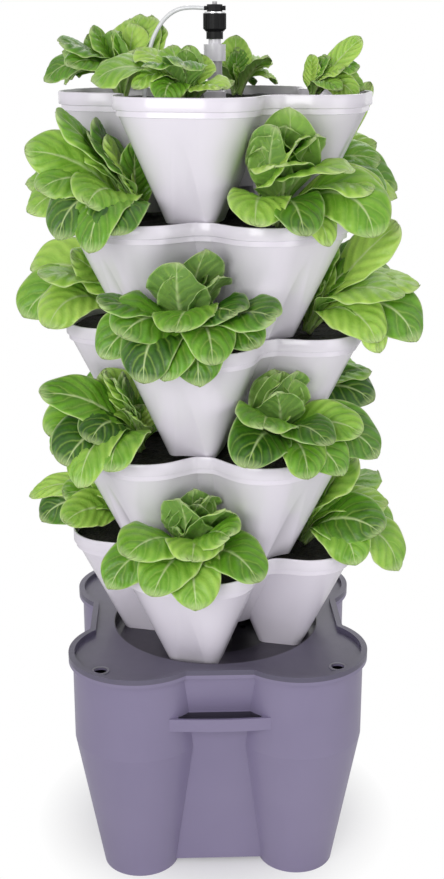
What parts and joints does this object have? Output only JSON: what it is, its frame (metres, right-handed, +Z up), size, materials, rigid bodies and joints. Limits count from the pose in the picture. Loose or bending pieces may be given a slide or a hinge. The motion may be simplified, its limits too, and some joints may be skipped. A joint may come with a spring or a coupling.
{
  "type": "vertical planter tower",
  "caption": "Free-standing tower of stacked four-pocket planters on a lobed water reservoir, with a central riser, a drip head and leafy plants.",
  "frame": {"origin": "centre of the floor plane that the reservoir's four feet stand on", "axes": "+Z up along the riser, -Y towards the tank's front panel, which faces the camera, +X to the right"},
  "size_m": [0.6314, 0.6314, 1.306],
  "materials": {
    "tank_plastic": "satin",
    "lid_plastic": "satin",
    "grommet_rubber": "matt",
    "pump_plastic": "matt",
    "shaft_steel": "polished",
    "foot_rubber": "matt",
    "pipe_plastic": "satin",
    "white_fitting": "gloss",
    "black_fitting": "satin",
    "ring_metal": "satin",
    "tube_plastic": "translucent white",
    "planter_plastic": "gloss",
    "medium": "rough",
    "leaf": "waxy leaf"
  },
  "bodies": {
    "reservoir": {"reservoir_tank": "tank_plastic", "pump_housing": "pump_plastic", "pump_suction_feet": "foot_rubber", "cable_gland": "foot_rubber", "impeller_shaft": "shaft_steel", "outlet_adapter": "pipe_plastic"},
    "rotor": {"pump_impeller": "pump_plastic"},
    "knob": {"flow_knob": "pump_plastic"},
    "cover": {"intake_cover": "pump_plastic"},
    "lid": {"reservoir_lid": "lid_plastic", "port_grommets": "grommet_rubber"},
    "riser": {"riser_pipe": "pipe_plastic", "head_adapter": "white_fitting", "head_barrel": "black_fitting", "head_washer": "ring_metal", "drip_cap": "black_fitting", "cap_nib": "pipe_plastic", "drip_tube": "tube_plastic"},
    "collar": {"lock_collar": "black_fitting"},
    "tier_1": {"planter_tier_1": "planter_plastic", "growing_medium_1": "medium", "lettuce_1_right": "leaf", "lettuce_1_back": "leaf", "lettuce_1_left": "leaf", "lettuce_1_front": "leaf"},
    "tier_2": {"planter_tier_2": "planter_plastic", "growing_medium_2": "medium", "lettuce_2_right": "leaf", "lettuce_2_back": "leaf", "lettuce_2_left": "leaf", "lettuce_2_front": "leaf"},
    "tier_3": {"planter_tier_3": "planter_plastic", "growing_medium_3": "medium", "lettuce_3_right": "leaf", "lettuce_3_back": "leaf", "lettuce_3_left": "leaf", "lettuce_3_front": "leaf"},
    "tier_4": {"planter_tier_4": "planter_plastic", "growing_medium_4": "medium", "lettuce_4_right": "leaf", "lettuce_4_back": "leaf", "lettuce_4_left": "leaf", "lettuce_4_front": "leaf"},
    "tier_5": {"planter_tier_5": "planter_plastic", "growing_medium_5": "medium", "lettuce_5_right": "leaf", "lettuce_5_back": "leaf", "lettuce_5_left": "leaf", "lettuce_5_front": "leaf"}
  },
  "joints": [
    {"name": "rotor_spin", "type": "hinge", "parent": "reservoir", "child": "rotor", "pos_m": [0, 0, 0.047], "axis": [1, 0, 0], "continuous": true},
    {"name": "knob_turn", "type": "hinge", "parent": "reservoir", "child": "knob", "pos_m": [-0.035, 0, 0.047], "axis": [0, 1, 0], "range_deg": [0, 90]},
    {"name": "cover_pull", "type": "slide", "parent": "reservoir", "child": "cover", "axis": [1, 0, 0], "range_m": [0, 0.015]},
    {"name": "lid_lift", "type": "slide", "parent": "reservoir", "child": "lid", "axis": [0, 0, 1], "range_m": [0, 0.06]},
    {"name": "tier_1_lift", "type": "slide", "parent": "lid", "child": "tier_1", "axis": [0, 0, 1], "range_m": [0, 0.05]},
    {"name": "tier_2_lift", "type": "slide", "parent": "tier_1", "child": "tier_2", "axis": [0, 0, 1], "range_m": [0, 0.05]},
    {"name": "tier_3_lift", "type": "slide", "parent": "tier_2", "child": "tier_3", "axis": [0, 0, 1], "range_m": [0, 0.05]},
    {"name": "tier_4_lift", "type": "slide", "parent": "tier_3", "child": "tier_4", "axis": [0, 0, 1], "range_m": [0, 0.05]},
    {"name": "tier_5_lift", "type": "slide", "parent": "tier_4", "child": "tier_5", "axis": [0, 0, 1], "range_m": [0, 0.05]},
    {"name": "riser_lift", "type": "slide", "parent": "tier_5", "child": "riser", "axis": [0, 0, 1], "range_m": [0, 1.12]},
    {"name": "collar_turn", "type": "hinge", "parent": "riser", "child": "collar", "pos_m": [0, 0, 1.27], "axis": [0, 0, 1], "range_deg": [0, 180]}
  ]
}
